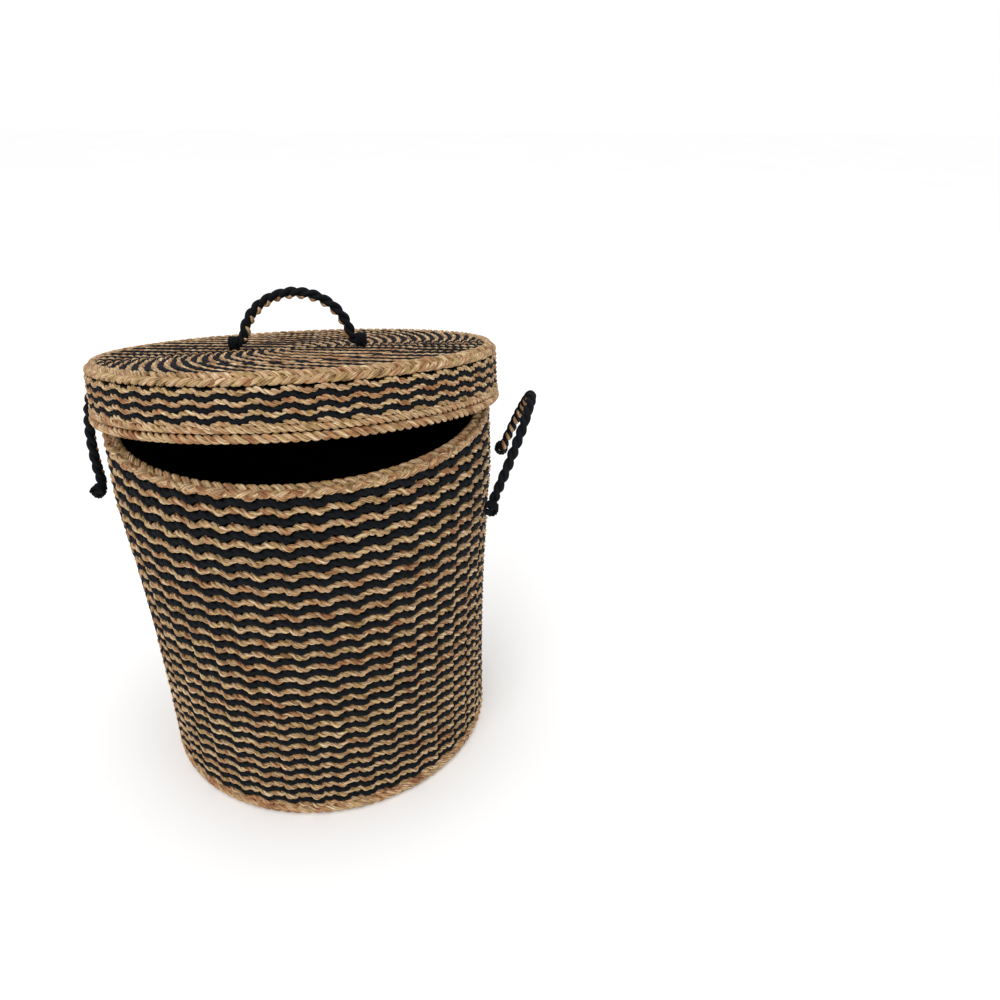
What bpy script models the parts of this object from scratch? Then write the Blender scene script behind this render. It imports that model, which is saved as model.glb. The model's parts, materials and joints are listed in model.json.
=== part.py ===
"""Woven laundry basket with a tilting lid, modelled as separate solids.

Metres, +Z up. The origin is the centre of the flat underside, on the floor. The front faces -Y.
Every woven row is drawn as its own plain ring, and the stakes and pale rows between them as one shell.
"""

import math

import bpy
from mathutils import Matrix, Vector

# ---------------------------------------------------------------- overall sizes
BODY_HEIGHT = 0.412
RIM_RADIUS = 0.200
RIM_OVERHANG = 0.001
FOOT_TAPER = 0.0106
SHOULDER_BULGE = 0.0005
SHOULDER_SHARE = 0.84
FLARE = 2.5
GAP = 0.0003

WALL_TOP_RADIUS = RIM_RADIUS - RIM_OVERHANG
SHOULDER_RADIUS = RIM_RADIUS + SHOULDER_BULGE
FOOT_RADIUS = RIM_RADIUS - FOOT_TAPER

# ---------------------------------------------------------------- wall
BLACK_ROWS = 25
ROW_GROWTH = 0.117
WALL_THICKNESS = 0.0085
GROOVE_WIDTH = 0.0088
GROOVE_DEPTH = 0.0048
BLACK_PROUD = 0.001
LINING_THICKNESS = 0.003
BASE_THICKNESS = 0.008
FOOT_HEIGHT = 0.014
FOOT_WIDTH = 0.013
RIM_HEIGHT = 0.010
RIM_WIDTH = 0.018
RIM_CHAMFER = 0.003

# ---------------------------------------------------------------- side handles
ROPE_RADIUS = 0.00625
ROPE_CLEARANCE = 0.0004
HANDLE_SPAN = 0.122
HANDLE_REACH = 0.100
HANDLE_FOOT_DROP = 0.080
HANDLE_TOE = 0.016
HANDLE_POINT = 1.0
RIGHT_HANDLE_AZIMUTH = -4.0
LEFT_HANDLE_AZIMUTH = 175.0
RIGHT_HANDLE_LEAN = 21.0
LEFT_HANDLE_LEAN = 8.0
LASHING_RADIUS = 0.0024

# ---------------------------------------------------------------- lid
LID_CLEARANCE = 0.003
LID_REAR_GAP = 0.0025
LID_HEIGHT = 0.059
LID_TOP_THICKNESS = 0.007
LID_WALL = 0.0055
LID_HEM_HEIGHT = 0.0085
LID_SECOND_HEM_HEIGHT = 0.0072
LID_EDGE_HEIGHT = 0.0086
LID_EDGE_WIDTH = 0.016
LID_BLACK_ROWS = 3
LID_GROOVE_SHARE = 0.66
LID_TOP_ROW_SHARE = 0.55
LID_GROOVE_DEPTH = 0.0030
LID_OPEN_ANGLE = 13.2
LID_HINGE_AZIMUTH = 98.6
LID_HANDLE_SPAN = 0.114
LID_HANDLE_RISE = 0.051
LID_HANDLE_TOE = 0.014

# ---------------------------------------------------------------- smoothness
WALL_STEPS = 24
LID_STEPS = 48
ROPE_POINTS = 18

STRAW = (0.58, 0.42, 0.24, 1.0)
DYED = (0.012, 0.014, 0.02, 1.0)


def clear_scene():
    for obj in list(bpy.data.objects):
        bpy.data.objects.remove(obj, do_unlink=True)


def collection_named(name):
    made = bpy.data.collections.new(name)
    bpy.context.scene.collection.children.link(made)
    return made


def material_for(name, colour, roughness):
    made = bpy.data.materials.new(name)
    made.use_nodes = True
    shader = made.node_tree.nodes["Principled BSDF"]
    shader.inputs["Base Color"].default_value = colour
    shader.inputs["Roughness"].default_value = roughness
    return made


clear_scene()
PARTS = collection_named("woven_laundry_basket")


def finish(obj, colour, parent=None):
    """Links a piece, gives it its own material and seats it on its parent."""
    for owner in list(obj.users_collection):
        owner.objects.unlink(obj)
    PARTS.objects.link(obj)
    obj.data.materials.clear()
    obj.data.materials.append(material_for(obj.name + "_finish", colour, 0.85))
    obj.parent = parent
    return obj


def turned(name, profile, steps, colour, parent=None, centre=(0.0, 0.0, 0.0)):
    """A closed outline of (radius, height) points spun round Z. The outline runs down its outer side."""
    mesh = bpy.data.meshes.new(name)
    points = [(radius, 0.0, height) for radius, height in profile]
    edges = [(i, (i + 1) % len(points)) for i in range(len(points))]
    mesh.from_pydata(points, edges, [])
    obj = bpy.data.objects.new(name, mesh)
    PARTS.objects.link(obj)
    spin = obj.modifiers.new("spin", "SCREW")
    spin.steps = steps
    spin.render_steps = steps
    spin.use_merge_vertices = True
    spin.merge_threshold = 0.00001
    spin.use_smooth_shade = True
    obj.location = centre
    return finish(obj, colour, parent)


def rope(name, points, radius, colour, parent=None, sides=2):
    """A cord of round section through the points, with closed ends."""
    curve = bpy.data.curves.new(name, "CURVE")
    curve.dimensions = "3D"
    curve.bevel_depth = radius
    curve.bevel_resolution = sides
    curve.use_fill_caps = True
    line = curve.splines.new("POLY")
    line.points.add(len(points) - 1)
    for point, place in zip(line.points, points):
        point.co = (*place, 1.0)
    obj = bpy.data.objects.new(name, curve)
    return finish(obj, colour, parent)


def empty_at(name, matrix, parent=None):
    made = bpy.data.objects.new(name, None)
    made.empty_display_size = 0.03
    PARTS.objects.link(made)
    made.parent = parent
    made.matrix_local = matrix
    return made


# ---------------------------------------------------------------- basket body
WEAVE_BOTTOM = FOOT_HEIGHT + GAP
WEAVE_TOP = BODY_HEIGHT - RIM_HEIGHT - GAP


def wall_radius(height):
    """Outer radius of the pale rows at a height: it flares up to a shoulder, then draws in to the rim."""
    t = max((height - WEAVE_BOTTOM) / (WEAVE_TOP - WEAVE_BOTTOM), 0.0)
    if t > SHOULDER_SHARE:
        above = (t - SHOULDER_SHARE) / (1 - SHOULDER_SHARE)
        return SHOULDER_RADIUS + (WALL_TOP_RADIUS - SHOULDER_RADIUS) * above
    return FOOT_RADIUS + (SHOULDER_RADIUS - FOOT_RADIUS) * (t / SHOULDER_SHARE) ** FLARE


def black_row_height(row):
    """Centre height of a black row, counted from 1 at the top. The rows close up towards the foot."""
    share = (row - 0.5) / BLACK_ROWS
    return WEAVE_TOP - (WEAVE_TOP - WEAVE_BOTTOM) * (share + ROW_GROWTH * share * (1 - share))


def grooved(heights, outer, inner, centres, half_width, depth):
    """Outline of a shell with V grooves cut into its outer side, running down that side.

    The heights run from the top down and are where the inner side has its corners.
    """
    top, bottom = heights[0], heights[-1]
    outline = [(inner(top), top), (outer(top), top)]
    for centre in centres:
        outline.append((outer(centre + half_width), centre + half_width))
        outline.append((outer(centre) - depth, centre))
        outline.append((outer(centre - half_width), centre - half_width))
    outline.append((outer(bottom), bottom))
    outline += [(inner(height), height) for height in reversed(heights[1:])]
    return outline


def wedge(centre, outer, half_width, depth, proud):
    """Outline of a ring that lies in a V groove with the standard gap on both of its flanks."""
    slope = half_width / depth
    tip = outer(centre) - depth + GAP / math.sin(math.atan(slope))
    face = outer(centre) + proud
    reach = (face - tip) * slope
    return [(tip, centre), (face, centre + reach), (face, centre - reach)]


def make_body():
    half = GROOVE_WIDTH / 2
    centres = [black_row_height(row) for row in range(1, BLACK_ROWS + 1)]

    def wall_inner(height):
        return wall_radius(height) - WALL_THICKNESS

    drop = WEAVE_TOP - WEAVE_BOTTOM
    heights = [WEAVE_TOP - drop * share for share in (0.0, 1 - SHOULDER_SHARE, 0.35, 0.6, 1.0)]
    turned("natural_weave_wall",
           grooved(heights, wall_radius, wall_inner, centres, half, GROOVE_DEPTH),
           WALL_STEPS, STRAW)
    for row, centre in enumerate(centres, start=1):
        turned(f"black_row_{row:02d}", wedge(centre, wall_radius, half, GROOVE_DEPTH, BLACK_PROUD),
               WALL_STEPS, DYED)

    skin = [(wall_inner(z) - GAP, z) for z in heights]
    back = [(wall_inner(z) - GAP - LINING_THICKNESS, z) for z in reversed(heights)]
    turned("black_inner_weave", skin + back, WALL_STEPS, DYED)

    foot_inner = FOOT_RADIUS - FOOT_WIDTH
    turned("foot_border",
           [(foot_inner, FOOT_HEIGHT), (FOOT_RADIUS, FOOT_HEIGHT), (FOOT_RADIUS, 0.002),
            (FOOT_RADIUS - 0.002, 0.0), (foot_inner, 0.0)], WALL_STEPS, STRAW)

    rim_inner = RIM_RADIUS - RIM_WIDTH
    low = BODY_HEIGHT - RIM_HEIGHT
    turned("rim_braid",
           [(rim_inner, BODY_HEIGHT - RIM_CHAMFER), (rim_inner + RIM_CHAMFER, BODY_HEIGHT),
            (RIM_RADIUS - RIM_CHAMFER, BODY_HEIGHT), (RIM_RADIUS, BODY_HEIGHT - RIM_CHAMFER),
            (RIM_RADIUS, low), (rim_inner, low)], LID_STEPS, STRAW)

    bpy.ops.mesh.primitive_cylinder_add(
        vertices=WALL_STEPS, radius=base_radius(), depth=BASE_THICKNESS,
        location=(0.0, 0.0, BASE_THICKNESS / 2))
    base = bpy.context.active_object
    base.name = "base_mat"
    finish(base, STRAW)


def base_radius():
    """The base mat fills the foot border and stays inside the lining above it."""
    lining = wall_radius(WEAVE_BOTTOM) - WALL_THICKNESS - LINING_THICKNESS
    return min(FOOT_RADIUS - FOOT_WIDTH - GAP, lining)


# ---------------------------------------------------------------- handles
def arch(span, reach, toe, point):
    """Points of a loop in the XZ plane that starts and ends in toes lying along X, the hinge line."""
    places = [Vector((-span / 2 - toe, 0.0, 0.0)), Vector((-span / 2 - ROPE_RADIUS, 0.0, 0.0))]
    for step in range(ROPE_POINTS + 1):
        turn = math.pi * step / ROPE_POINTS
        rise = reach * math.sin(turn) ** point
        places.append(Vector((-span / 2 * math.cos(turn), 0.0, max(rise, ROPE_RADIUS * 0.45))))
    places += [Vector((span / 2 + ROPE_RADIUS, 0.0, 0.0)), Vector((span / 2 + toe, 0.0, 0.0))]
    return places


def staple(half_width, back):
    """Points of a lashing that wraps over a toe: two legs of length back and a half round front."""
    places = [Vector((0.0, -back, half_width)), Vector((0.0, 0.0, half_width))]
    for step in range(1, 6):
        turn = math.pi * step / 6
        places.append(Vector((0.0, half_width * math.sin(turn), half_width * math.cos(turn))))
    places += [Vector((0.0, 0.0, -half_width)), Vector((0.0, -back, -half_width))]
    return places


def handle_axis_radius(height):
    return wall_radius(height) + BLACK_PROUD + ROPE_RADIUS + ROPE_CLEARANCE


def make_side_handle(side, azimuth, lean):
    """A rope loop that turns on its two toes, each held to the wall by a lashing."""
    height = BODY_HEIGHT - HANDLE_FOOT_DROP
    radius = handle_axis_radius(height)
    turn = math.radians(azimuth)
    # Local X runs along the hinge line, local Y points out from the wall, local Z points up.
    place = (Matrix.Translation((radius * math.cos(turn), radius * math.sin(turn), height))
             @ Matrix.Rotation(turn - math.pi / 2, 4, "Z"))
    seat = empty_at(f"{side}_handle_seat", place)
    hinge = empty_at(f"{side}_handle_hinge", Matrix.Rotation(-math.radians(lean), 4, "X"), seat)
    rope(f"{side}_handle", arch(HANDLE_SPAN, HANDLE_REACH, HANDLE_TOE, HANDLE_POINT),
         ROPE_RADIUS, DYED, hinge)
    half_width = ROPE_RADIUS + ROPE_CLEARANCE + LASHING_RADIUS
    for word, way in (("front", -1), ("rear", 1)):
        sign = way if side == "right" else -way
        offset = -sign * (HANDLE_SPAN / 2 + ROPE_RADIUS + (HANDLE_TOE - ROPE_RADIUS) / 2)
        wall = wall_radius(height) + BLACK_PROUD
        nearest = abs(offset) - LASHING_RADIUS
        depth = radius - math.sqrt(wall ** 2 - nearest ** 2) - 2 * GAP
        lashing = rope(f"{side}_handle_{word}_lashing", staple(half_width, depth),
                       LASHING_RADIUS, DYED, seat, sides=1)
        lashing.location = (offset, 0.0, 0.0)


# ---------------------------------------------------------------- lid
LID_INNER = RIM_RADIUS + LID_CLEARANCE
LID_OUTER = LID_INNER + LID_WALL


def make_lid():
    """The lid in its own frame: X along the hinge line at the rear hem, Y to the rear, Z up.

    Closed, it sits a little forward of the middle, so that its rear face just clears the rim.
    """
    hem_height = BODY_HEIGHT + 2 * GAP - (LID_HEIGHT - LID_EDGE_HEIGHT)
    out = math.radians(LID_HINGE_AZIMUTH)
    hinge_radius = RIM_RADIUS + LID_REAR_GAP
    seat = (Matrix.Translation((hinge_radius * math.cos(out), hinge_radius * math.sin(out), hem_height))
            @ Matrix.Rotation(out - math.pi / 2, 4, "Z"))
    hinge = empty_at("lid_hinge", seat @ Matrix.Rotation(-math.radians(LID_OPEN_ANGLE), 4, "X"))
    centre = (0.0, -LID_INNER, 0.0)

    def ring(name, low, high, inner, outer, colour, cut=0.0012):
        outline = [(inner, high), (outer - cut, high), (outer, high - cut),
                   (outer, low + cut), (outer - cut, low), (inner, low)]
        return turned(name, outline, LID_STEPS, colour, hinge, centre)

    second = LID_HEM_HEIGHT + GAP
    skirt = second + LID_SECOND_HEM_HEIGHT + GAP
    edge = LID_HEIGHT - LID_EDGE_HEIGHT
    ring("lid_hem_rope", 0.0, LID_HEM_HEIGHT, LID_INNER, LID_OUTER, STRAW)
    ring("lid_second_hem_rope", second, second + LID_SECOND_HEM_HEIGHT, LID_INNER, LID_OUTER, STRAW)
    ring("lid_edge_braid", edge, LID_HEIGHT, LID_OUTER - LID_EDGE_WIDTH, LID_OUTER, STRAW, 0.003)

    top = edge - GAP
    # Under the edge braid comes one pale row, so the black rows share what is left below it.
    pitch = (top - skirt) / (LID_BLACK_ROWS + LID_TOP_ROW_SHARE)
    half_groove = pitch * LID_GROOVE_SHARE / 2
    centres = [skirt + (row - 0.5) * pitch for row in range(LID_BLACK_ROWS, 0, -1)]

    def outer(_height):
        return LID_OUTER

    def inner(_height):
        return LID_INNER

    turned("lid_natural_skirt",
           grooved([top, skirt], outer, inner, centres, half_groove, LID_GROOVE_DEPTH),
           LID_STEPS, STRAW, hinge, centre)
    for row, height in enumerate(centres, start=1):
        turned(f"lid_black_row_{row}",
               wedge(height, outer, half_groove, LID_GROOVE_DEPTH, BLACK_PROUD * 0.6),
               LID_STEPS, DYED, hinge, centre)

    disc_radius = LID_OUTER - LID_EDGE_WIDTH - GAP
    bpy.ops.mesh.primitive_cylinder_add(
        vertices=LID_STEPS, radius=disc_radius, depth=LID_TOP_THICKNESS,
        location=(0.0, -LID_INNER, LID_HEIGHT - LID_TOP_THICKNESS / 2))
    disc = bpy.context.active_object
    disc.name = "lid_top_mat"
    finish(disc, DYED, hinge)
    make_lid_handle(hinge)


def make_lid_handle(lid):
    """A rope arch across the middle of the lid, on the same kind of toes as the side handles."""
    lift = ROPE_RADIUS + ROPE_CLEARANCE
    seat = empty_at("lid_handle_hinge", Matrix.Translation((0.0, -LID_INNER, LID_HEIGHT + lift))
                    @ Matrix.Rotation(math.radians(90.0 - LID_HINGE_AZIMUTH), 4, "Z"), lid)
    rope("lid_handle", arch(LID_HANDLE_SPAN, LID_HANDLE_RISE, LID_HANDLE_TOE, 1.0),
         ROPE_RADIUS, DYED, seat)
    half_width = ROPE_RADIUS + ROPE_CLEARANCE + LASHING_RADIUS
    for word, sign in (("left", -1), ("right", 1)):
        offset = sign * (LID_HANDLE_SPAN / 2 + ROPE_RADIUS + (LID_HANDLE_TOE - ROPE_RADIUS) / 2)
        lashing = rope(f"lid_handle_{word}_lashing", staple(half_width, lift - 2 * GAP),
                       LASHING_RADIUS, DYED, seat, sides=1)
        lashing.location = (offset, 0.0, 0.0)
        lashing.rotation_euler = (math.radians(90.0), 0.0, 0.0)


make_body()
make_side_handle("right", RIGHT_HANDLE_AZIMUTH, RIGHT_HANDLE_LEAN)
make_side_handle("left", LEFT_HANDLE_AZIMUTH, LEFT_HANDLE_LEAN)
make_lid()
bpy.context.view_layer.update()
for empty_name in ("right_handle_hinge", "left_handle_hinge", "lid_hinge", "lid_handle_hinge"):
    world = bpy.data.objects[empty_name].matrix_world
    spot = [round(value, 5) for value in world.translation]
    along = [round(value, 5) for value in world.col[0].xyz]
    print(empty_name, "at", spot, "turns about", along)
print(len([obj for obj in PARTS.objects if obj.type != "EMPTY"]), "separate pieces")
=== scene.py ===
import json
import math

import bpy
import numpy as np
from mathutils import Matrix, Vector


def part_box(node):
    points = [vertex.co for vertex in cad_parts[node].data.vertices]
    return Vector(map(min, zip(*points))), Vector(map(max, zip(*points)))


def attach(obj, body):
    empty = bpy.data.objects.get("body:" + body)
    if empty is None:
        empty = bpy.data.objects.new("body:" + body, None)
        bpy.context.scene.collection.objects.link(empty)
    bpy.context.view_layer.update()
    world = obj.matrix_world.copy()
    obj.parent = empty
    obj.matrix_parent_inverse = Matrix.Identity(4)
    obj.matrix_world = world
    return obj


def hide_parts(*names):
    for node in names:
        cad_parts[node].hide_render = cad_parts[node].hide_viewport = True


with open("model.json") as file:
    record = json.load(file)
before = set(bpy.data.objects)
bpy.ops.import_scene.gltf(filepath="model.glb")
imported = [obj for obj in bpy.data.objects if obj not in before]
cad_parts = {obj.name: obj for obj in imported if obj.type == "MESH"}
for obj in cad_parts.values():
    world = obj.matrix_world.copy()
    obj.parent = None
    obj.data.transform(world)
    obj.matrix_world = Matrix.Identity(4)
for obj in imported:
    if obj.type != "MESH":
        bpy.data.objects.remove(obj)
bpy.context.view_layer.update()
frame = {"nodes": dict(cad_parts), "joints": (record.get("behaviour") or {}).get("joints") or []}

# %% [markdown]
# # A lidded laundry basket in two-tone twisted seagrass
# The basket is twined from one pale and one black-dyed cord, row above row, round upright stakes.
# The solid frame that was just loaded gives the sizes and the joints. Each cell below covers one part
# of it with the real thing: twisted cords, braids and lashings, built as geometry so that they hold
# up from every side.

body_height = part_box("rim_braid")[1].z
rim_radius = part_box("rim_braid")[1].x
weave_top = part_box("natural_weave_wall")[1].z
weave_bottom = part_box("natural_weave_wall")[0].z
black_rows = sum(name.startswith("black_row_") for name in frame["nodes"])
joints = {joint["name"]: joint for joint in frame["joints"]}

mm = 0.001
wall_top_radius = 0.199
shoulder_radius = 0.2005
foot_radius = 0.1894
shoulder_share = 0.84
flare = 2.5
row_growth = 0.117
# The rows sit up to this much above the frame's plain rings, most at the rim and none at the foot.
row_lift = 4 * mm
lid_inner = 0.203
lid_outer = 0.2085
lid_height = 0.059
lid_open = math.radians(13.2)
lid_azimuth = math.radians(98.6)
rope_radius = 6.25 * mm


def wall_radius(height):
    """Outer radius of the woven wall: it flares up to a shoulder, then draws in to the rim."""
    t = max((height - weave_bottom) / (weave_top - weave_bottom), 0.0)
    if t > shoulder_share:
        above = (t - shoulder_share) / (1 - shoulder_share)
        return shoulder_radius + (wall_top_radius - shoulder_radius) * above
    return foot_radius + (shoulder_radius - foot_radius) * (t / shoulder_share) ** flare


def row_height(share):
    """Height of a row, from share 0 under the rim to 1 at the foot. Rows close up towards the foot."""
    down = share + row_growth * share * (1 - share)
    return weave_top + row_lift * (1 - share) - (weave_top - weave_bottom) * down


print(f"body {body_height:.3f} m high, rim radius {rim_radius:.3f} m, {black_rows} black rows, "
      f"{(row_height(0) - row_height(1 / black_rows)) / mm:.1f} mm apart at the rim and "
      f"{(row_height(1 - 1 / black_rows) - row_height(1)) / mm:.1f} mm at the foot")

# %% [markdown]
# ## A few small tools
# One function adds a node with its settings and links. A little class lets ordinary sums stand for
# Math nodes, so that a cord's path can be read as a formula. One more turns an evaluated Geometry
# Nodes object into a plain mesh that rides on its part of the frame.

# %% Tools
def add(tree, kind, *inputs, out=0, **settings):
    """Adds a node, sets it up, fills its inputs in order (None leaves one alone) and returns an output."""
    node = tree.nodes.new(kind)
    for name, value in settings.items():
        setattr(node, name, value)
    for socket, value in zip([s for s in node.inputs if s.enabled], inputs):
        if isinstance(value, Field):
            value = value.socket
        if isinstance(value, bpy.types.NodeSocket):
            tree.links.new(value, socket)
        elif value is not None:
            socket.default_value = value
    return node.outputs[out]


class Field:
    """A number worked out inside a node tree. Sums on it make Math nodes."""

    def __init__(self, tree, socket):
        self.tree, self.socket = tree, socket

    def math(self, operation, *others):
        return Field(self.tree, add(self.tree, "ShaderNodeMath", self, *others, operation=operation))

    def __add__(self, other):
        return self.math("ADD", other)

    def __sub__(self, other):
        return self.math("SUBTRACT", other)

    def __mul__(self, other):
        return self.math("MULTIPLY", other)

    def __truediv__(self, other):
        return self.math("DIVIDE", other)

    __radd__ = __add__
    __rmul__ = __mul__

    def sin(self):
        return self.math("SINE")

    def cos(self):
        return self.math("COSINE")

    def clamped(self, low, high):
        return self.math("MAXIMUM", low).math("MINIMUM", high)


def new_tree(name, inputs):
    """A Geometry Nodes tree with these inputs, and {name: Field or socket} for them."""
    tree = bpy.data.node_groups.new(name, "GeometryNodeTree")
    tree.interface.new_socket("Geometry", in_out="INPUT", socket_type="NodeSocketGeometry")
    kinds = {int: "NodeSocketInt", float: "NodeSocketFloat", None: "NodeSocketMaterial"}
    for label, example in inputs.items():
        kind = kinds[None if example is None else type(example)]
        socket = tree.interface.new_socket(label, in_out="INPUT", socket_type=kind)
        if example is not None:
            socket.default_value = example
    tree.interface.new_socket("Geometry", in_out="OUTPUT", socket_type="NodeSocketGeometry")
    entry = tree.nodes.new("NodeGroupInput")
    given = {s.name: Field(tree, s) for s in entry.outputs if s.name}
    return tree, given


def finish_tree(tree, mesh, material):
    """Every tree ends the same way: real geometry, its material, and the output."""
    real = add(tree, "GeometryNodeRealizeInstances", mesh)
    painted = add(tree, "GeometryNodeSetMaterial", real, None, material)
    exit_node = tree.nodes.new("NodeGroupOutput")
    tree.links.new(painted, exit_node.inputs[0])


def with_changes(defaults, changes):
    """A tree's inputs with these changes. A name's underscores stand for spaces."""
    values = dict(defaults)
    for label, value in changes.items():
        label = label.replace("_", " ")
        values[label] = value if defaults[label] is None else type(defaults[label])(value)
    return values


def sized(modifier, tree, values):
    """Sets a modifier's inputs by their identifiers."""
    identifiers = {item.name: item.identifier for item in tree.interface.items_tree
                   if item.item_type == "SOCKET" and item.in_out == "INPUT"}
    for label, value in values.items():
        modifier[identifiers[label]] = value


def grown(tree, parts, place=None, path=None):
    """Runs the tree once for each dict of inputs and returns the plain meshes, set in place."""
    meshes = []
    for values in parts:
        base = path or bpy.data.meshes.new("seed")
        holder = bpy.data.objects.new("holder", base)
        bpy.context.scene.collection.objects.link(holder)
        modifier = holder.modifiers.new("grow", "NODES")
        modifier.node_group = tree
        sized(modifier, tree, values)
        graph = bpy.context.evaluated_depsgraph_get()
        mesh = bpy.data.meshes.new_from_object(holder.evaluated_get(graph))
        bpy.data.objects.remove(holder)
        if place is not None:
            mesh.transform(place)
        meshes.append(mesh)
    return meshes


tally = {}


def piece(name, body, meshes, stands_for):
    """Joins the meshes into one named piece that rides on a body and stands for CAD nodes."""
    made = [bpy.data.objects.new(name if i == 0 else "extra", mesh) for i, mesh in enumerate(meshes)]
    for obj in made:
        bpy.context.scene.collection.objects.link(obj)
    first = made[0]
    if len(made) > 1:
        with bpy.context.temp_override(active_object=first, object=first,
                                       selected_objects=made, selected_editable_objects=made):
            bpy.ops.object.join()
    first.data.shade_smooth()
    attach(first, body)
    if stands_for:
        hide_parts(*stands_for)
    tally[name] = sum(len(face.vertices) - 2 for face in first.data.polygons)


# %% [markdown]
# ## Seagrass, natural and dyed
# Seagrass is a round, hollow-stemmed sedge, dried and twisted into cord. Undyed it runs from straw to
# pale pink and green-brown along one stem, with fine lengthwise fibres and a low waxy shine. Dyed it
# is a matte blue-black in which the fibres only just show. The streaks follow each strand by its own
# stored coordinates: distance along the cord, and the direction round it.

# %% Materials
def linear(code):
    """An sRGB hex colour as the linear values that a shader takes."""
    parts = [int(code[i:i + 2], 16) / 255 for i in (1, 3, 5)]
    return tuple(c / 12.92 if c <= 0.04045 else ((c + 0.055) / 1.055) ** 2.4 for c in parts) + (1.0,)


def ramp(tree, factor, *stops):
    """A colour ramp node: stops are (position, hex) pairs."""
    out = add(tree, "ShaderNodeValToRGB", factor)
    band = out.node.color_ramp
    while len(band.elements) < len(stops):
        band.elements.new(0.5)
    for element, (position, code) in zip(band.elements, stops):
        element.position = position
        element.color = linear(code)
    return out


def seagrass(name, streaks, tints, tint_share, roughness, relief_mm, shine):
    """A fibrous cord finish. streaks and tints are ramps of hex colours from dark to light."""
    made = bpy.data.materials.new(name)
    made.use_nodes = True
    tree = made.node_tree
    shader = tree.nodes["Principled BSDF"]
    lay = add(tree, "ShaderNodeAttribute", attribute_name="fibre", out="Vector")
    strand = Field(tree, add(tree, "ShaderNodeAttribute", attribute_name="strand", out="Fac"))
    # Fibres: about 14 mm long along the cord and a good deal narrower round it.
    long_fibres = add(tree, "ShaderNodeMapping", lay, None, None, (70.0, 2.6, 2.6))
    fibres = Field(tree, add(tree, "ShaderNodeTexNoise", long_fibres, strand * 37.0, 1.0, 4.0, 0.65,
                             noise_dimensions="4D"))
    hair = add(tree, "ShaderNodeMapping", lay, None, None, (160.0, 9.0, 9.0))
    hairs = Field(tree, add(tree, "ShaderNodeTexNoise", hair, strand * 61.0, 1.0, 2.0, 0.6,
                            noise_dimensions="4D"))
    # Patches of stem colour about 14 mm long, and slow shifts of about 70 mm, by place on the piece.
    where = add(tree, "ShaderNodeTexCoord", out="Object")
    patches = Field(tree, add(tree, "ShaderNodeTexNoise", where, 70.0, 2.0, 0.5))
    broad = Field(tree, add(tree, "ShaderNodeTexNoise", where, 14.0, 2.0, 0.5))
    streak = fibres * 0.75 + hairs * 0.25
    colour = ramp(tree, streak, *streaks)
    tint = ramp(tree, patches * 0.7 + broad * 0.15 + strand * 0.15, *tints)
    mixed = add(tree, "ShaderNodeMix", tint_share, colour, tint, out=2,
                data_type="RGBA", blend_type="MULTIPLY")
    tree.links.new(mixed, shader.inputs["Base Color"])
    rough = streak * 0.25 + (roughness - 0.12)
    tree.links.new(rough.socket, shader.inputs["Roughness"])
    shader.inputs["IOR"].default_value = 1.47
    shader.inputs["Specular IOR Level"].default_value = shine
    bump = add(tree, "ShaderNodeBump", out="Normal").node
    bump.inputs["Strength"].default_value = 0.9
    bump.inputs["Distance"].default_value = relief_mm * mm
    tree.links.new(streak.socket, bump.inputs["Height"])
    tree.links.new(bump.outputs["Normal"], shader.inputs["Normal"])
    return made


natural = seagrass(
    "natural seagrass, twisted and sun dried",
    [(0.34, "#3e2a1b"), (0.45, "#8e6d4c"), (0.54, "#c6a880"), (0.65, "#f8ecd4")],
    [(0.32, "#bd8e70"), (0.43, "#e6ccb2"), (0.52, "#ffffff"), (0.60, "#eee8c8"), (0.70, "#a3906c")],
    0.9, 0.62, 0.45, 0.35)
dyed = seagrass(
    "black dyed seagrass, matte",
    [(0.30, "#030405"), (0.48, "#080a0e"), (0.62, "#10141b"), (0.78, "#1d2430")],
    [(0.30, "#b9a9a0"), (0.50, "#ffffff"), (0.70, "#c8d4ec")],
    0.6, 0.80, 0.30, 0.16)
# A darker, less shiny copy of the black dyed finish for the inside faces: the cord's own black with
# painted shade on it.
dyed_with_painted_shade = seagrass(
    "black dyed seagrass, inner face with painted shade",
    [(0.30, "#030304"), (0.50, "#07090c"), (0.65, "#0e1116"), (0.80, "#181d25")],
    [(0.30, "#b9a9a0"), (0.50, "#ffffff"), (0.70, "#c8d4ec")],
    0.5, 0.88, 0.30, 0.12)
print(len(bpy.data.materials), "materials")

# %% [markdown]
# ## Cord rings
# Nearly all of the basket is cord laid round in rings. One tree makes any of them. A ring starts as a
# circle; each strand then follows a path that is the sum of four simple motions:
# a step up and down from one stake to the next, a dip inward between stakes, a weave over and under,
# and the turn of the strands about each other. With one crossing in each turn that last motion is a
# twisted rope, and with two it is a plait.

# %% The ring tree
ring_inputs = {
    "Rows": 1, "Row rise": 0.0, "Row growth": 0.0, "Row turn": 1.7,
    "Strands": 2, "Radius": 0.2, "Height": 0.0, "Face tilt": 0.0, "Stakes": 0, "Halve below": 0.0,
    "Step": 0.0, "Dip": 0.0, "Over under": 0.0, "Phase": 0.0, "Phase drift": 0.0,
    "Lay length": 0.02, "Lay across": 0.002, "Lay out": 0.002, "Lay phase": 0.0, "Lay wander": 0.0,
    "Crossings": 1.0, "Strand radius": 0.002, "Taper": 0.0, "Spacing": 0.002, "Sides": 6,
    "Unevenness": 0.0, "Wander": 0.0, "Seed": 0, "Material": None,
}


def captured(tree, geometry, kind, label, value):
    """Stores a value on the geometry and returns both, as they come out of the capture node."""
    node = tree.nodes.new("GeometryNodeCaptureAttribute")
    node.capture_items.new(kind, label)
    tree.links.new(geometry, node.inputs["Geometry"])
    tree.links.new(value.socket, node.inputs[label])
    return node, node.outputs["Geometry"], Field(tree, node.outputs[label])


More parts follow.
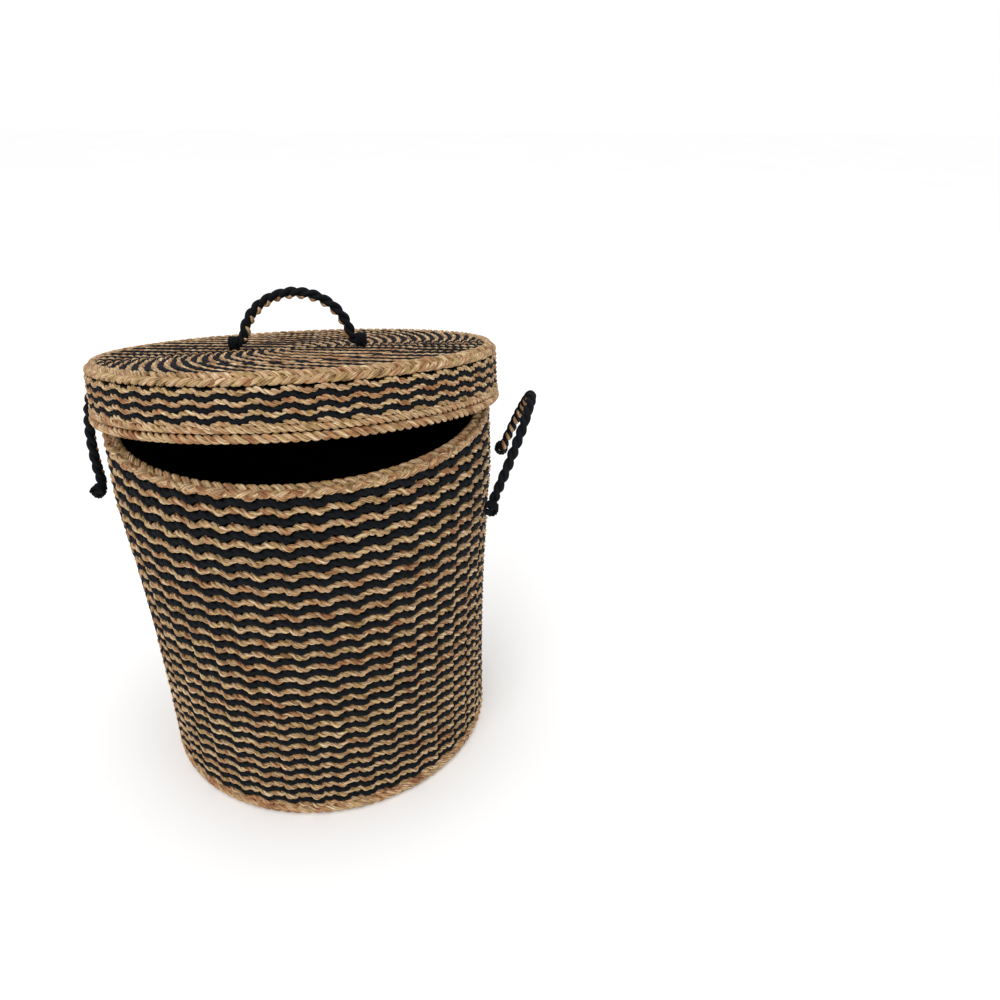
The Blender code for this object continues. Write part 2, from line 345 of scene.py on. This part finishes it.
def strands_swept(tree, given, curve, along, swell, number, closed_ends):
    """Sweeps a round strand along each curve and stores what the seagrass finish reads.

    "fibre" is the distance along the strand and the direction round it; "strand" is a chance value.
    """
    profile = add(tree, "GeometryNodeCurvePrimitiveCircle", given["Sides"], out="Curve")
    tree.links.new(given["Strand radius"].socket, profile.node.inputs["Radius"])
    round_share = Field(tree, add(tree, "GeometryNodeSplineParameter", out="Factor"))
    _, profile, turn = captured(tree, profile, "FLOAT", "turn", round_share * math.tau)
    _, curve, along = captured(tree, curve, "FLOAT", "along", along)
    swept = add(tree, "GeometryNodeCurveToMesh", curve, profile, swell, closed_ends)
    fibre = add(tree, "ShaderNodeCombineXYZ", along, turn.cos(), turn.sin())
    stored = add(tree, "GeometryNodeStoreNamedAttribute", swept, None, "fibre", fibre,
                 data_type="FLOAT_VECTOR", domain="POINT")
    chance = add(tree, "FunctionNodeRandomValue", 0.0, 1.0, number, given["Seed"],
                 data_type="FLOAT", out=1)
    return add(tree, "GeometryNodeStoreNamedAttribute", stored, None, "strand", chance,
               data_type="FLOAT", domain="POINT")


def make_ring_tree():
    tree, given = new_tree("cord rings", ring_inputs)
    circle = add(tree, "GeometryNodeCurvePrimitiveCircle", 32, out="Curve")
    copies = add(tree, "GeometryNodeDuplicateElements", circle, None,
                 given["Rows"] * given["Strands"], domain="SPLINE")
    index = Field(tree, copies.node.outputs["Duplicate Index"])
    capture, copies, number = captured(tree, copies, "INT", "number", index)
    capture.domain = "CURVE"
    # The little extra keeps a whole number from falling just under itself.
    row = (number / given["Strands"] + 0.001).math("FLOOR")
    strand = number - row * given["Strands"]

    height = given["Height"] + row * given["Row rise"]
    radius = given["Radius"] + row * given["Row growth"]
    around = radius * math.tau
    count = (around / given["Spacing"]).math("ROUND")
    evened = add(tree, "GeometryNodeResampleCurve", copies)
    evened.node.mode = "COUNT"
    tree.links.new(count.socket, evened.node.inputs["Count"])
    share = Field(tree, add(tree, "GeometryNodeSplineParameter", out="Factor"))
    angle = share * math.tau

    # Fewer stakes reach the middle of a flat mat: their number halves as the rings get small.
    halved = radius.math("LESS_THAN", given["Halve below"])
    quartered = (radius * 2.0).math("LESS_THAN", given["Halve below"])
    stakes = given["Stakes"] / ((halved + 1.0) * (quartered + 1.0))
    sway = stakes * 0.5 * angle + given["Phase"] + row * given["Phase drift"]
    high_low = sway.sin()
    # Partly a smooth wave and partly a step: the cord lies level over a stake and drops between two.
    stepped = high_low * 0.55 + (high_low * 3.0).clamped(-1.0, 1.0) * 0.45
    mid_stake = high_low.math("ABSOLUTE")

    spot = add(tree, "ShaderNodeCombineXYZ", angle.cos() * radius, angle.sin() * radius, height)
    # Hand-made unevenness: fine over 13 mm and different for each strand, slow over 110 mm and shared.
    place_in_noise = given["Seed"] * 3.17
    fine = add(tree, "ShaderNodeTexNoise", spot, place_in_noise + strand * 5.3 + row * 2.9,
               75.0, 1.0, 0.5, noise_dimensions="4D", out="Color")
    slow = add(tree, "ShaderNodeTexNoise", spot, place_in_noise,
               9.0, 1.0, 0.5, noise_dimensions="4D", out="Color")
    fine_xyz = add(tree, "ShaderNodeSeparateXYZ", fine).node.outputs
    slow_xyz = add(tree, "ShaderNodeSeparateXYZ", slow).node.outputs
    turns = (around / given["Lay length"]).math("ROUND")
    lay = (turns * angle + strand * math.tau / given["Strands"] + given["Lay phase"]
           + row * given["Row turn"] + (Field(tree, slow_xyz[2]) - 0.5) * given["Lay wander"])
    across = given["Lay across"] * lay.cos() + given["Step"] * stepped
    outward = (given["Lay out"] * (lay * given["Crossings"]).sin() + given["Dip"] * (mid_stake * 2.0 - 1.0)
               + given["Over under"] * high_low)

    across = (across + (Field(tree, fine_xyz[0]) - 0.5) * given["Unevenness"] * 2.0
              + (Field(tree, slow_xyz[0]) - 0.5) * given["Wander"] * 2.0)
    outward = (outward + (Field(tree, fine_xyz[1]) - 0.5) * given["Unevenness"] * 2.0
               + (Field(tree, slow_xyz[1]) - 0.5) * given["Wander"])

    tilt_cos, tilt_sin = given["Face tilt"].cos(), given["Face tilt"].sin()
    reach = radius + outward * tilt_cos - across * tilt_sin
    rise = height + outward * tilt_sin + across * tilt_cos
    # The rings begin at the back, where their ends would be tucked in.
    bearing = angle + math.pi / 2
    place = add(tree, "ShaderNodeCombineXYZ", bearing.cos() * reach, bearing.sin() * reach, rise)
    moved = add(tree, "GeometryNodeSetPosition", evened, None, place)
    swell = ((Field(tree, fine_xyz[2]) - 0.5) * given["Unevenness"] * 300.0 + 1.0
             - given["Taper"] * (mid_stake * -1.0 + 1.0))
    thick = add(tree, "GeometryNodeSetCurveRadius", moved, None, swell)
    swept = strands_swept(tree, given, thick, share * around, swell, number, closed_ends=False)
    finish_tree(tree, swept, given["Material"])
    return tree


rings = make_ring_tree()
print(len(rings.nodes), "nodes in the ring tree")


def ring(**changes):
    """The ring tree's inputs with these changes."""
    return with_changes(ring_inputs, changes)


# %% [markdown]
# ## The striped wall
# Each row of the wall is one two-ply cord. It steps up and down by about 2 mm from stake to stake and
# dips in between them, so that a row reads as a string of short spindles. Pale and black rows take
# turns and keep nearly in step, which makes the waves run round the whole basket side by side.

# %% Pale and black rows of the wall
stakes = 84
in_step = 0.4
drift = 0.05
# The middle of a cord lies this far inside the wall's outer face.
set_back = 3.6 * mm
pale_cord = dict(Stakes=stakes, Step=1.9 * mm, Spacing=1.9 * mm, Strands=2, Strand_radius=2.25 * mm,
                 Lay_across=1.6 * mm, Lay_out=1.6 * mm, Lay_length=15 * mm, Dip=1.2 * mm, Taper=0.32,
                 Unevenness=0.42 * mm, Wander=0.8 * mm, Material=natural)
black_cord = dict(Stakes=stakes, Step=1.9 * mm, Spacing=2.4 * mm, Strands=2, Strand_radius=2.7 * mm,
                  Lay_across=1.7 * mm, Lay_out=1.2 * mm, Lay_length=19 * mm, Dip=0.5 * mm, Taper=0.10,
                  Unevenness=0.25 * mm, Wander=0.8 * mm, Material=dyed)


def wall_row(cord, rows_down, seed):
    """One row of the wall, counted in rows down from the rim. Halves are the black rows."""
    height = row_height(rows_down / black_rows)
    return ring(**cord, Height=height, Radius=wall_radius(height) - set_back,
                Phase=in_step + drift * rows_down, Seed=seed)


for index in range(black_rows):
    name = f"black_row_{index + 1:02d}"
    piece(name + "_cord", "basket", grown(rings, [wall_row(black_cord, index + 0.5, 100 + index)]),
          [name])

# The pale rows make one CAD node, but they go in groups here to keep each piece's mesh small.
group_starts = [0, 6, 11, 16, 21, black_rows + 1]
for number in range(1, len(group_starts)):
    rows = range(group_starts[number - 1], group_starts[number])
    piece(f"pale_rows_group_{number}", "basket",
          grown(rings, [wall_row(pale_cord, index, 200 + index) for index in rows]),
          ["natural_weave_wall"] if number == 1 else [])
print(sum(tally.values()), "triangles in the outer rows")

# %% [markdown]
# ## The dark inside
# Inside, only the black cord shows: its floats cover the pale one. These rows are laid closer and
# flatter than the outer ones, and they bend the other way at each stake. They are thick enough to
# touch each other, so that no light comes through the wall.

# %% Inner weave
inner_rows = 2 * black_rows
inner_set_back = 9.6 * mm
# These rows wear the darker copy of the black finish: the cord's own black plus painted shade.
inner_cord = dict(Strands=1, Stakes=stakes, Dip=-0.6 * mm, Lay_across=0.0, Lay_out=0.0,
                  Strand_radius=4.7 * mm, Taper=0.04, Spacing=3.8 * mm, Unevenness=0.3 * mm,
                  Wander=0.6 * mm, Material=dyed_with_painted_shade)


def inner_row(index):
    height = row_height((index + 0.4) / inner_rows)
    return ring(**inner_cord, Height=height, Radius=wall_radius(height) - inner_set_back,
                Phase=in_step + math.pi * index, Seed=300 + index)


piece("inner_black_rows", "basket", grown(rings, [inner_row(index) for index in range(inner_rows)]),
      ["black_inner_weave"])
print(tally["inner_black_rows"], "triangles inside")

# %% [markdown]
# ## Cord along a path
# Handles, stakes and lashings follow open paths. This tree lays strands round any path that it is
# given, twists them about each other and closes their ends. With one strand and no twist it is a rod.

# %% The path tree
path_inputs = {"Strands": 2, "Lay length": 0.02, "Lay radius": 0.002, "Lay phase": 0.0,
               "Strand radius": 0.002, "Spacing": 0.002, "Sides": 8, "Unevenness": 0.0,
               "Lumps": 0.0, "Lump length": 0.012, "Copies round": 1, "Seed": 0, "Material": None}


def make_path_tree():
    tree, given = new_tree("cord along a path", path_inputs)
    path = add(tree, "GeometryNodeMeshToCurve", given["Geometry"])
    copies = add(tree, "GeometryNodeDuplicateElements", path, None, given["Strands"], domain="SPLINE")
    index = Field(tree, copies.node.outputs["Duplicate Index"])
    _, copies, number = captured(tree, copies, "INT", "number", index)
    evened = add(tree, "GeometryNodeResampleCurve", copies)
    evened.node.mode = "LENGTH"
    tree.links.new(given["Spacing"].socket, evened.node.inputs["Length"])
    along = Field(tree, add(tree, "GeometryNodeSplineParameter", out="Length"))
    lay = (along / given["Lay length"] * math.tau + number * math.tau / given["Strands"]
           + given["Lay phase"])
    normal = add(tree, "GeometryNodeInputNormal", out="Normal")
    tangent = add(tree, "GeometryNodeInputTangent", out="Tangent")
    side = add(tree, "ShaderNodeVectorMath", normal, tangent, operation="CROSS_PRODUCT")
    first = add(tree, "ShaderNodeVectorMath", normal, operation="SCALE")
    tree.links.new((lay.cos() * given["Lay radius"]).socket, first.node.inputs["Scale"])
    second = add(tree, "ShaderNodeVectorMath", side, operation="SCALE")
    tree.links.new((lay.sin() * given["Lay radius"]).socket, second.node.inputs["Scale"])
    place = add(tree, "GeometryNodeInputPosition")
    noise = add(tree, "ShaderNodeTexNoise", place, number * 4.3 + given["Seed"], 90.0, 1.0, 0.5,
                noise_dimensions="4D", out="Color")
    centred = add(tree, "ShaderNodeVectorMath", noise, (0.5, 0.5, 0.5), operation="SUBTRACT")
    jolt = add(tree, "ShaderNodeVectorMath", centred, operation="SCALE")
    tree.links.new((given["Unevenness"] * 2.0).socket, jolt.node.inputs["Scale"])
    offset = add(tree, "ShaderNodeVectorMath", first, second, operation="ADD")
    offset = add(tree, "ShaderNodeVectorMath", offset, jolt, operation="ADD")
    moved = add(tree, "GeometryNodeSetPosition", evened, None, None, offset)
    swell = (along / given["Lump length"] * math.tau).sin() * given["Lumps"] + 1.0
    swept = strands_swept(tree, given, moved, along, swell, number, closed_ends=True)
    # Copies set round the basket's axis, for the stakes.
    hub = add(tree, "GeometryNodePoints", given["Copies round"])
    index = Field(tree, add(tree, "GeometryNodeInputIndex"))
    turned = add(tree, "ShaderNodeCombineXYZ", 0.0, 0.0, index / given["Copies round"] * math.tau)
    spread = add(tree, "GeometryNodeInstanceOnPoints", hub)
    tree.links.new(swept, spread.node.inputs["Instance"])
    tree.links.new(turned, spread.node.inputs["Rotation"])
    finish_tree(tree, spread, given["Material"])
    return tree


paths = make_path_tree()


def line_mesh(points):
    """A mesh of edges from each point to the next."""
    made = bpy.data.meshes.new("path")
    made.from_pydata([tuple(p) for p in points], [(i, i + 1) for i in range(len(points) - 1)], [])
    return made


def corded(points, place=None, **changes):
    """One run of the path tree along the points."""
    return grown(paths, [with_changes(path_inputs, changes)], place, line_mesh(points))


# %% [markdown]
# ## Stakes
# The upright stakes carry the weave. On the real basket they are stiff stems that the two cords pass
# round in turn, and they only show as a shadowed pale line where two spindles meet.

# %% Stakes
stake_foot = 10 * mm
stake_set_back = 6.3 * mm
upright = [(0.0, wall_radius(z) - stake_set_back, z) for z in np.linspace(stake_foot, weave_top, 24)]
piece("stakes", "basket", corded(upright, Strands=1, Lay_radius=0.0, Strand_radius=1.6 * mm,
                                 Spacing=12 * mm, Sides=6, Copies_round=stakes, Material=natural),
      [])
print(stakes, "stakes,", tally["stakes"], "triangles")

# %% [markdown]
# ## Rim and foot
# The stake ends are folded over and plaited into a border of three doubled strands. The plait is
# nearly flat and tips outward, so that its herringbone faces up and out. The foot is finished with a
# thick three-strand twist that the basket stands on, round a plain mat woven over and under spokes.

# %% Rim, foot border and base mat
def plait(radius, height, tilt, seed, across, out, length):
    """Three doubled strands plaited into a flat border. The two of each pair lie side by side."""
    beside = 0.31
    return [ring(Strands=3, Radius=radius, Height=height, Face_tilt=tilt, Lay_length=length,
                 Lay_across=across, Lay_out=out, Crossings=2, Lay_phase=shift,
                 Strand_radius=2.1 * mm, Spacing=1.8 * mm, Sides=8, Unevenness=0.35 * mm,
                 Wander=0.9 * mm, Seed=seed + number, Material=natural)
            for number, shift in enumerate((-beside, beside))]


rim_plait = plait(rim_radius - 8.8 * mm, body_height - 5.4 * mm, math.radians(72), seed=400,
                  across=5.6 * mm, out=1.9 * mm, length=33 * mm)
piece("rim_plait", "basket", grown(rings, rim_plait), ["rim_braid"])
foot_twist = ring(Strands=3, Radius=foot_radius - 5.4 * mm, Height=6.6 * mm, Lay_length=34 * mm,
                  Lay_across=3.2 * mm, Lay_out=3.2 * mm, Strand_radius=3.3 * mm, Spacing=2.4 * mm,
                  Sides=8, Unevenness=0.25 * mm, Wander=0.3 * mm, Seed=410, Material=natural)
piece("foot_twist", "basket", grown(rings, [foot_twist]), ["foot_border"])
base_mat = ring(Rows=22, Row_growth=-8.0 * mm, Radius=172 * mm, Height=4.4 * mm, Strands=2,
                Face_tilt=math.pi / 2, Stakes=stakes, Halve_below=100 * mm, Over_under=0.9 * mm,
                Phase_drift=math.pi, Lay_length=18 * mm, Lay_across=1.7 * mm, Lay_out=0.8 * mm,
                Strand_radius=2.4 * mm, Spacing=3.2 * mm, Unevenness=0.25 * mm, Seed=420,
                Material=natural)
piece("base_mat_weave", "basket", grown(rings, [base_mat]), ["base_mat"])
print(tally["rim_plait"], tally["foot_twist"], tally["base_mat_weave"], "triangles")

# %% [markdown]
# ## The lid
# The lid is a shallow drum woven like the body with finer cord. It rests tipped up at the front, so
# everything on it is made about its own axis and then set in the resting place.

# %% Lid skirt and hem ropes
lid_place = (Matrix.Translation(Vector(joints["lid_tilt"]["pos_m"]))
             @ Matrix.Rotation(lid_azimuth - math.pi / 2, 4, "Z")
             @ Matrix.Rotation(-lid_open, 4, "X") @ Matrix.Translation((0.0, -lid_inner, 0.0)))
lid_black_rows = 3
skirt_low, skirt_high = 16.3 * mm, 50.1 * mm
# Above the middle of the top pale row, the skirt runs on for just over half a row to the plait.
lid_pitch = (skirt_high - skirt_low) / (lid_black_rows + 0.55)
lid_face = lid_outer - 2.9 * mm
lid_cord = dict(Radius=lid_face, Stakes=88, Step=1.5 * mm, Strand_radius=1.8 * mm, Wander=0.5 * mm)
lid_pale = pale_cord | lid_cord | dict(Lay_across=1.4 * mm, Lay_out=1.2 * mm, Lay_length=14 * mm,
                                       Dip=0.7 * mm, Unevenness=0.25 * mm)
lid_black = black_cord | lid_cord | dict(Lay_across=1.05 * mm, Lay_out=0.8 * mm, Lay_length=16 * mm,
                                         Dip=0.4 * mm, Unevenness=0.2 * mm)
# The inner rings of the lid skirt take the darker black copy: painted shade.
lid_inner_dark = lid_pale | dict(Radius=lid_inner + 1.6 * mm, Strands=1, Strand_radius=1.9 * mm,
                                 Spacing=3.0 * mm, Lay_across=0.0, Lay_out=0.0, Taper=0.1,
                                 Material=dyed_with_painted_shade)

for number in range(1, lid_black_rows + 1):
    row = ring(**lid_black, Height=skirt_low + (lid_black_rows + 0.5 - number) * lid_pitch,
               Phase=in_step + 0.1 * number, Seed=500 + number)
    piece(f"lid_black_cord_{number}", "lid", grown(rings, [row], lid_place),
          [f"lid_black_row_{number}"])

pale = [ring(**lid_pale, Height=skirt_low + 0.4 * mm + step * lid_pitch,
             Phase=in_step - 0.1 * step, Seed=510 + step) for step in range(lid_black_rows + 1)]
dark = [ring(**lid_inner_dark, Height=skirt_low + (step + 0.5) * lid_pitch / 2, Seed=515 + step)
        for step in range(2 * lid_black_rows + 1)]
piece("lid_skirt_pale_cords", "lid", grown(rings, pale + dark, lid_place),
      ["lid_natural_skirt"])


def hem_rope(height, lay_radius, strand_radius, lay_length, seed):
    return ring(Strands=2, Radius=lid_face + 0.2 * mm, Height=height, Lay_length=lay_length,
                Lay_across=lay_radius, Lay_out=lay_radius, Strand_radius=strand_radius,
                Spacing=1.9 * mm, Sides=8, Unevenness=0.3 * mm, Wander=0.6 * mm, Seed=seed,
                Material=natural)


hems = {"lid_hem_rope": hem_rope(4.6 * mm, 2.2 * mm, 2.35 * mm, 17 * mm, 520),
        "lid_second_hem_rope": hem_rope(12.4 * mm, 1.75 * mm, 2.0 * mm, 14 * mm, 521)}
for name, rope in hems.items():
    piece(name + "_twist", "lid", grown(rings, [rope], lid_place), [name])

edge_plait = plait(lid_outer - 6.2 * mm, lid_height - 4.0 * mm, math.radians(46), seed=530,
                   across=4.9 * mm, out=1.8 * mm, length=30 * mm)
piece("lid_edge_plait", "lid", grown(rings, edge_plait, lid_place),
      ["lid_edge_braid"])
print(sum(count for name, count in tally.items() if name.startswith("lid")),
      "triangles in the lid's side")

# %% [markdown]
# ## The top of the lid
# The top is a flat round mat of one pale and one black cord twisted about each other, ring within
# ring. Each shows where the other is underneath, and each ring starts a little further round than the
# last, so the flecks drift into slanting two-tone bands. A dark lining of finer rings lies below and
# keeps light from coming through.

# %% Lid top mat
top_rows = 25
top_row_pitch = 7.9 * mm
top_mat = dict(Rows=top_rows, Row_growth=-top_row_pitch, Radius=192.5 * mm,
               Height=lid_height - 3.2 * mm, Face_tilt=math.pi / 2, Strands=1, Lay_wander=5.0,
               Lay_length=25 * mm, Lay_across=1.9 * mm, Lay_out=1.7 * mm, Row_turn=2.2,
               Spacing=2.1 * mm, Unevenness=0.5 * mm, Wander=0.6 * mm)
lid_mat_black = ring(**top_mat, Strand_radius=2.75 * mm, Seed=600, Material=dyed)
lid_mat_pale = ring(**top_mat, Strand_radius=2.45 * mm, Lay_phase=math.pi, Seed=601,
                    Material=natural)
# The lining takes the darker black copy: painted shade.
lining = top_mat | dict(Rows=2 * top_rows - 1, Row_growth=-top_row_pitch / 2,
                        Height=lid_height - 5.5 * mm, Strand_radius=2.25 * mm, Lay_across=0.0,
                        Lay_out=0.0, Spacing=4.0 * mm, Unevenness=0.0, Wander=0.0, Seed=602,
                        Material=dyed_with_painted_shade)
piece("lid_mat_black_cords", "lid", grown(rings, [lid_mat_black], lid_place),
      ["lid_top_mat"])
piece("lid_mat_pale_cords", "lid", grown(rings, [lid_mat_pale], lid_place), [])
piece("lid_mat_spokes_and_lining", "lid", grown(rings, [ring(**lining)], lid_place), [])
print(tally["lid_mat_black_cords"] + tally["lid_mat_pale_cords"], "triangles in the lid's top")

# %% [markdown]
# ## Rope handles
# Each handle is a thick rope of black strands with one pale strand laid in on its inner side, so pale
# flecks look out between the black lumps. Its feet turn along the wall and are lashed down with
# twine, and the handle swings on them.

# %% Handles and lashings
def arch(span, reach, inset=0.0, steps=32):
    """Points of a half-oval loop in the XZ plane. Inset moves it in from its middle line."""
    foot_x = span / 2 - inset
    lowest = rope_radius * 0.45
    turns = [math.pi * step / steps for step in range(steps + 1)]
    return [(-foot_x * math.cos(turn), 0.0, max((reach - inset) * math.sin(turn), lowest))
            for turn in turns]


def handle(name, place, span, reach, toe):
    """Two thick black strands from toe to toe, and a pale one that shows along the inner side."""
    toe_end, toe_start = span / 2 + toe, span / 2 + rope_radius
    route = ([(-toe_end, 0.0, 0.0), (-toe_start, 0.0, 0.0)] + arch(span, reach)
             + [(toe_start, 0.0, 0.0), (toe_end, 0.0, 0.0)])
    black = corded(route, place, Strands=2, Lay_length=25 * mm, Lay_radius=2.3 * mm,
                   Strand_radius=3.2 * mm, Spacing=1.6 * mm, Sides=10, Lumps=0.05,
                   Unevenness=0.3 * mm, Seed=700, Material=dyed)
    pale = corded(arch(span, reach, inset=3.4 * mm), place, Strands=1, Lay_length=12.5 * mm,
                  Lay_radius=1.9 * mm, Strand_radius=2.1 * mm, Spacing=1.6 * mm,
                  Unevenness=0.3 * mm, Seed=701, Material=natural)
    piece(name + "_rope", name, black + pale, [name])


def lashing(node, body, place, offset, turns=3.5, width=9.5 * mm, steps=84):
    """Three and a half turns of twine round one toe, bound down on what is behind it."""
    points = []
    for step in range(steps + 1):
        turn = math.tau * turns * step / steps
        points.append((offset + (step / steps - 0.5) * width,
                       rope_radius * math.cos(turn), rope_radius * math.sin(turn)))
    twine = corded(points, place, Strands=2, Lay_length=7 * mm, Lay_radius=0.8 * mm,
                   Strand_radius=1.0 * mm, Spacing=1.4 * mm, Sides=6, Unevenness=0.15 * mm,
                   Seed=710, Material=dyed)
    piece(node + "_twine", body, twine, [node])


side_span, side_reach, side_toe = 122 * mm, 100 * mm, 16 * mm
side_handles = {"right": (-4.0, 21.0, -1), "left": (175.0, 8.0, 1)}
for side, (azimuth, lean, rearward) in side_handles.items():
    seat = (Matrix.Translation(Vector(joints[side + "_handle_swing"]["pos_m"]))
            @ Matrix.Rotation(math.radians(azimuth - 90.0), 4, "Z"))
    handle(side + "_handle", seat @ Matrix.Rotation(-math.radians(lean), 4, "X"),
           side_span, side_reach, side_toe)
    for word, way in (("front", -rearward), ("rear", rearward)):
        lashing(f"{side}_handle_{word}_lashing", "basket", seat, way * (side_span / 2 + 11.1 * mm))

lid_span, lid_reach, lid_toe = 114 * mm, 51 * mm, 14 * mm
lid_seat = (Matrix.Translation(Vector(joints["lid_handle_fold"]["pos_m"]))
            @ Matrix.Rotation(lid_azimuth - math.pi / 2, 4, "Z") @ Matrix.Rotation(-lid_open, 4, "X")
            @ Matrix.Rotation(math.pi / 2 - lid_azimuth, 4, "Z"))
handle("lid_handle", lid_seat, lid_span, lid_reach, lid_toe)
for word, sign in (("left", -1), ("right", 1)):
    lashing(f"lid_handle_{word}_lashing", "lid", lid_seat, sign * (lid_span / 2 + 10.1 * mm))
print(sum(tally.values()), "triangles in", len(tally), "pieces")

# %% [markdown]
# ## Light, floor and camera
# Soft light from large lamps on a pale floor keeps the fibres readable and the shadows faint. The
# camera looks down at the basket from the front, a little to its right.

# %% Studio
def plain_material(name, code, roughness):
    """Matte paint with a very faint, slow change of tone."""
    made = bpy.data.materials.new(name)
    made.use_nodes = True
    tree = made.node_tree
    shader = tree.nodes["Principled BSDF"]
    where = add(tree, "ShaderNodeTexCoord", out="Object")
    grain = add(tree, "ShaderNodeTexNoise", where, 3.0, 2.0, 0.5)
    tone = ramp(tree, grain, (0.0, code), (1.0, "#ffffff"))
    tree.links.new(tone, shader.inputs["Base Color"])
    shader.inputs["Roughness"].default_value = roughness
    return made


bpy.ops.mesh.primitive_plane_add(size=12.0, location=(0.0, 0.0, -0.0005))
floor = bpy.context.active_object
floor.name = "studio_floor"
floor.data.materials.append(plain_material("pale studio floor, matte paint", "#fbfbfb", 0.9))

world = bpy.data.worlds.new("studio")
world.use_nodes = True
sky = world.node_tree.nodes["Background"]
sky.inputs["Color"].default_value = linear("#ffffff")
sky.inputs["Strength"].default_value = 1.0
bpy.context.scene.world = world
bpy.context.scene.view_settings.view_transform = "Standard"


def area_light(name, place, size, power):
    """A soft square lamp that faces the middle of the basket."""
    middle = Vector((0.0, 0.0, 0.3))
    data = bpy.data.lights.new(name, "AREA")
    data.size = size
    data.energy = power
    lamp = bpy.data.objects.new(name, data)
    bpy.context.scene.collection.objects.link(lamp)
    lamp.location = place
    lamp.rotation_euler = (middle - Vector(place)).to_track_quat("-Z", "Y").to_euler()


area_light("key softbox", (-0.6, -1.9, 1.9), size=1.2, power=16.0)
area_light("fill softbox", (2.0, -1.4, 1.2), size=1.5, power=4.0)
area_light("top softbox", (0.0, 0.4, 2.6), size=1.6, power=8.0)

camera_place = (0.21098, -0.87694, 0.77956)
camera_pitch, camera_roll = math.radians(28.96), math.radians(0.35)
camera_data = bpy.data.cameras.new("camera")
camera_data.sensor_width = 36.0
camera_data.lens = 36.0 * 0.88686
camera = bpy.data.objects.new("camera", camera_data)
bpy.context.scene.collection.objects.link(camera)
camera.matrix_world = (Matrix.Translation(camera_place)
                       @ Matrix.Rotation(math.pi / 2 - camera_pitch, 4, "X")
                       @ Matrix.Rotation(camera_roll, 4, "Z"))
bpy.context.scene.camera = camera

# %% [markdown]
# ## Counting
# Each piece was set on its moving part as it was made. The last call prints how many triangles
# there are, in how many pieces.

# %% Finish
print(sum(tally.values()), "triangles in", len(tally), "pieces")
